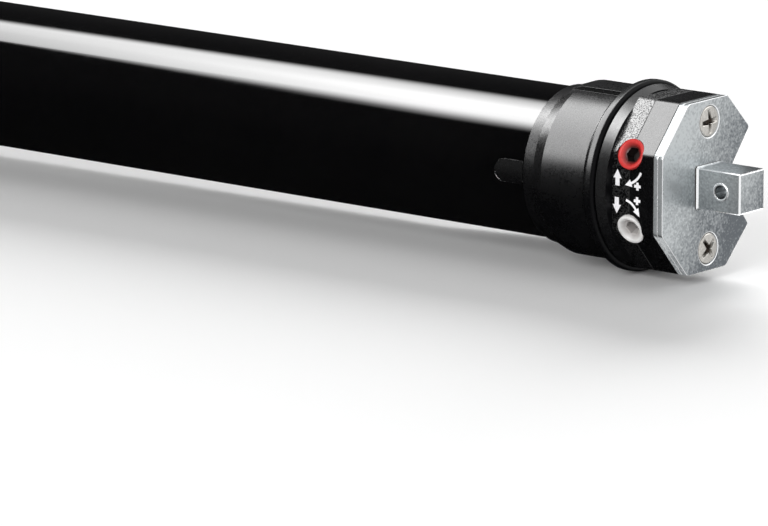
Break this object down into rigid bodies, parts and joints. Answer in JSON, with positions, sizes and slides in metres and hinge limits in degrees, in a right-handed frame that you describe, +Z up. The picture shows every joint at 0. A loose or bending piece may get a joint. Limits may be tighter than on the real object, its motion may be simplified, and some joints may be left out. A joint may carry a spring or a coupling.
{
  "type": "tubular roller blind motor",
  "caption": "Tubular roller blind motor: long black tube with a turning crown, a plastic head with red and white limit screws, a zinc end plate with a square pin, and a drive wheel.",
  "frame": {"origin": "on the motor's axis at the end plate's front face, where the square pin leaves it", "axes": "+X along the motor's axis towards the bracket, -Y to the side with the limit screws, +Z up"},
  "size_m": [0.5046, 0.0562, 0.0562],
  "materials": {
    "zinc": "zinc plated, mottled, satin",
    "head_black": "moulded, fine texture",
    "crown_black": "satin moulded",
    "tube_black": "high gloss black enamel",
    "red_plastic": "satin",
    "white_plastic": "satin",
    "grommet_rubber": "soft matt",
    "grey_plastic": "moulded",
    "nylon": "moulded nylon",
    "switch_plastic": "moulded",
    "terminal_green": "moulded",
    "steel": "turned",
    "lamination": "stacked sheet steel",
    "copper": "enamelled copper wire",
    "bronze": "sintered bronze",
    "die_cast": "die cast",
    "capacitor_blue": "moulded can",
    "lining": "pressed friction lining"
  },
  "bodies": {
    "motor_body": {"square_pin": "zinc", "end_plate": "zinc", "backing_plate": "zinc", "end_plate_screws": "zinc", "head_cap": "head_black", "head_housing": "head_black", "cable_grommet": "grommet_rubber", "crown_retainer": "crown_black", "motor_tube": "tube_black", "limit_frame": "grey_plastic", "counter_axle": "steel", "switch_up": "switch_plastic", "switch_down": "switch_plastic", "lever_pins": "steel", "terminal_block": "terminal_green", "run_capacitor": "capacitor_blue", "capacitor_clamps": "grey_plastic", "front_shield": "die_cast", "rear_shield": "die_cast", "front_bearing": "bronze", "rear_bearing": "bronze", "stator_core": "lamination", "stator_winding": "copper", "brake_lining": "lining", "brake_plate": "die_cast", "gearbox_ring": "die_cast", "output_bush": "grey_plastic", "tube_screws": "zinc"},
    "crown": {"crown_ring": "crown_black"},
    "limit_pinion": {"limit_pinion": "nylon"},
    "count_up_a": {"count_wheel_up_a": "nylon"},
    "count_up_b": {"count_wheel_up_b": "nylon"},
    "count_down_a": {"count_wheel_down_a": "nylon"},
    "count_down_b": {"count_wheel_down_b": "nylon"},
    "red_screw": {"limit_screw_red": "red_plastic"},
    "white_screw": {"limit_screw_white": "white_plastic"},
    "lever_up": {"switch_lever_up": "steel"},
    "lever_down": {"switch_lever_down": "steel"},
    "rotor": {"rotor_core": "lamination", "rotor_shaft": "steel", "brake_pole": "lamination", "brake_spring": "steel"},
    "brake": {"brake_disc": "lamination"},
    "carrier_1": {"carrier_1": "steel"},
    "carrier_2": {"carrier_2": "steel"},
    "output": {"output_carrier": "steel", "drive_wheel": "crown_black", "drive_wheel_clip": "steel"},
    "planet_1a": {"planet_1a": "nylon"},
    "planet_1b": {"planet_1b": "nylon"},
    "planet_1c": {"planet_1c": "nylon"},
    "planet_2a": {"planet_2a": "nylon"},
    "planet_2b": {"planet_2b": "nylon"},
    "planet_2c": {"planet_2c": "nylon"},
    "planet_3a": {"planet_3a": "steel"},
    "planet_3b": {"planet_3b": "steel"},
    "planet_3c": {"planet_3c": "steel"}
  },
  "joints": [
    {"name": "crown_turn", "type": "hinge", "parent": "motor_body", "child": "crown", "pos_m": [-0.035, 0, 0], "axis": [1, 0, 0], "continuous": true},
    {"name": "limit_pinion_turn", "type": "hinge", "parent": "motor_body", "child": "limit_pinion", "pos_m": [-0.06, 0, -0.0153], "axis": [1, 0, 0], "continuous": true},
    {"name": "count_up_a_turn", "type": "hinge", "parent": "motor_body", "child": "count_up_a", "pos_m": [-0.0794, 0, -0.00128], "axis": [1, 0, 0], "continuous": true},
    {"name": "count_up_b_turn", "type": "hinge", "parent": "motor_body", "child": "count_up_b", "pos_m": [-0.0794, 0, -0.00128], "axis": [1, 0, 0], "continuous": true},
    {"name": "count_down_a_turn", "type": "hinge", "parent": "motor_body", "child": "count_down_a", "pos_m": [-0.0974, 0, -0.00128], "axis": [1, 0, 0], "continuous": true},
    {"name": "count_down_b_turn", "type": "hinge", "parent": "motor_body", "child": "count_down_b", "pos_m": [-0.0974, 0, -0.00128], "axis": [1, 0, 0], "continuous": true},
    {"name": "red_limit_turn", "type": "hinge", "parent": "motor_body", "child": "red_screw", "pos_m": [-0.0118, -0.02195, 0.01122], "axis": [0, -0.9239, 0.3827], "continuous": true},
    {"name": "white_limit_turn", "type": "hinge", "parent": "motor_body", "child": "white_screw", "pos_m": [-0.0118, -0.02195, -0.01122], "axis": [0, -0.9239, -0.3827], "continuous": true},
    {"name": "lever_up_tilt", "type": "hinge", "parent": "motor_body", "child": "lever_up", "pos_m": [-0.0794, 0.0055, 0.0096], "axis": [-1, 0, 0], "range_deg": [-12, 0], "stiffness_Nm_per_rad": 0.002},
    {"name": "lever_down_tilt", "type": "hinge", "parent": "motor_body", "child": "lever_down", "pos_m": [-0.0974, 0.0055, 0.0096], "axis": [-1, 0, 0], "range_deg": [-12, 0], "stiffness_Nm_per_rad": 0.002},
    {"name": "output_turn", "type": "hinge", "parent": "motor_body", "child": "output", "pos_m": [-0.42, 0, 0], "axis": [1, 0, 0], "continuous": true},
    {"name": "carrier_2_turn", "type": "hinge", "parent": "motor_body", "child": "carrier_2", "pos_m": [-0.369, 0, 0], "axis": [1, 0, 0], "continuous": true},
    {"name": "carrier_1_turn", "type": "hinge", "parent": "motor_body", "child": "carrier_1", "pos_m": [-0.352, 0, 0], "axis": [1, 0, 0], "continuous": true},
    {"name": "rotor_turn", "type": "hinge", "parent": "motor_body", "child": "rotor", "pos_m": [-0.26, 0, 0], "axis": [1, 0, 0], "continuous": true},
    {"name": "brake_slide", "type": "slide", "parent": "rotor", "child": "brake", "axis": [1, 0, 0], "range_m": [0, 0.0008], "stiffness_N_per_m": 3000, "springref_m": -0.003, "deforming": ["brake_spring"]},
    {"name": "planet_1a_turn", "type": "hinge", "parent": "carrier_1", "child": "planet_1a", "pos_m": [-0.352, 0.01072, 0], "axis": [1, 0, 0], "continuous": true},
    {"name": "planet_1b_turn", "type": "hinge", "parent": "carrier_1", "child": "planet_1b", "pos_m": [-0.352, -0.00536, 0.00928], "axis": [1, 0, 0], "continuous": true},
    {"name": "planet_1c_turn", "type": "hinge", "parent": "carrier_1", "child": "planet_1c", "pos_m": [-0.352, -0.00536, -0.00928], "axis": [1, 0, 0], "continuous": true},
    {"name": "planet_2a_turn", "type": "hinge", "parent": "carrier_2", "child": "planet_2a", "pos_m": [-0.369, 0.01072, 0], "axis": [1, 0, 0], "continuous": true},
    {"name": "planet_2b_turn", "type": "hinge", "parent": "carrier_2", "child": "planet_2b", "pos_m": [-0.369, -0.00536, 0.00928], "axis": [1, 0, 0], "continuous": true},
    {"name": "planet_2c_turn", "type": "hinge", "parent": "carrier_2", "child": "planet_2c", "pos_m": [-0.369, -0.00536, -0.00928], "axis": [1, 0, 0], "continuous": true},
    {"name": "planet_3a_turn", "type": "hinge", "parent": "output", "child": "planet_3a", "pos_m": [-0.39, 0.01072, 0], "axis": [1, 0, 0], "continuous": true},
    {"name": "planet_3b_turn", "type": "hinge", "parent": "output", "child": "planet_3b", "pos_m": [-0.39, -0.00536, 0.00928], "axis": [1, 0, 0], "continuous": true},
    {"name": "planet_3c_turn", "type": "hinge", "parent": "output", "child": "planet_3c", "pos_m": [-0.39, -0.00536, -0.00928], "axis": [1, 0, 0], "continuous": true}
  ],
  "couplings": [
    {"joint": "limit_pinion_turn", "follows": "crown_turn", "ratio": 3.5714},
    {"joint": "count_up_a_turn", "follows": "crown_turn", "ratio": -2.0408},
    {"joint": "count_up_b_turn", "follows": "crown_turn", "ratio": -1.9481},
    {"joint": "count_down_a_turn", "follows": "crown_turn", "ratio": -2.0408},
    {"joint": "count_down_b_turn", "follows": "crown_turn", "ratio": -1.9481},
    {"joint": "carrier_2_turn", "follows": "output_turn", "ratio": 5.5},
    {"joint": "carrier_1_turn", "follows": "output_turn", "ratio": 30.25},
    {"joint": "rotor_turn", "follows": "output_turn", "ratio": 166.38},
    {"joint": "planet_1a_turn", "follows": "output_turn", "ratio": -77.786},
    {"joint": "planet_1b_turn", "follows": "output_turn", "ratio": -77.786},
    {"joint": "planet_1c_turn", "follows": "output_turn", "ratio": -77.786},
    {"joint": "planet_2a_turn", "follows": "output_turn", "ratio": -14.143},
    {"joint": "planet_2b_turn", "follows": "output_turn", "ratio": -14.143},
    {"joint": "planet_2c_turn", "follows": "output_turn", "ratio": -14.143},
    {"joint": "planet_3a_turn", "follows": "output_turn", "ratio": -2.5714},
    {"joint": "planet_3b_turn", "follows": "output_turn", "ratio": -2.5714},
    {"joint": "planet_3c_turn", "follows": "output_turn", "ratio": -2.5714}
  ]
}
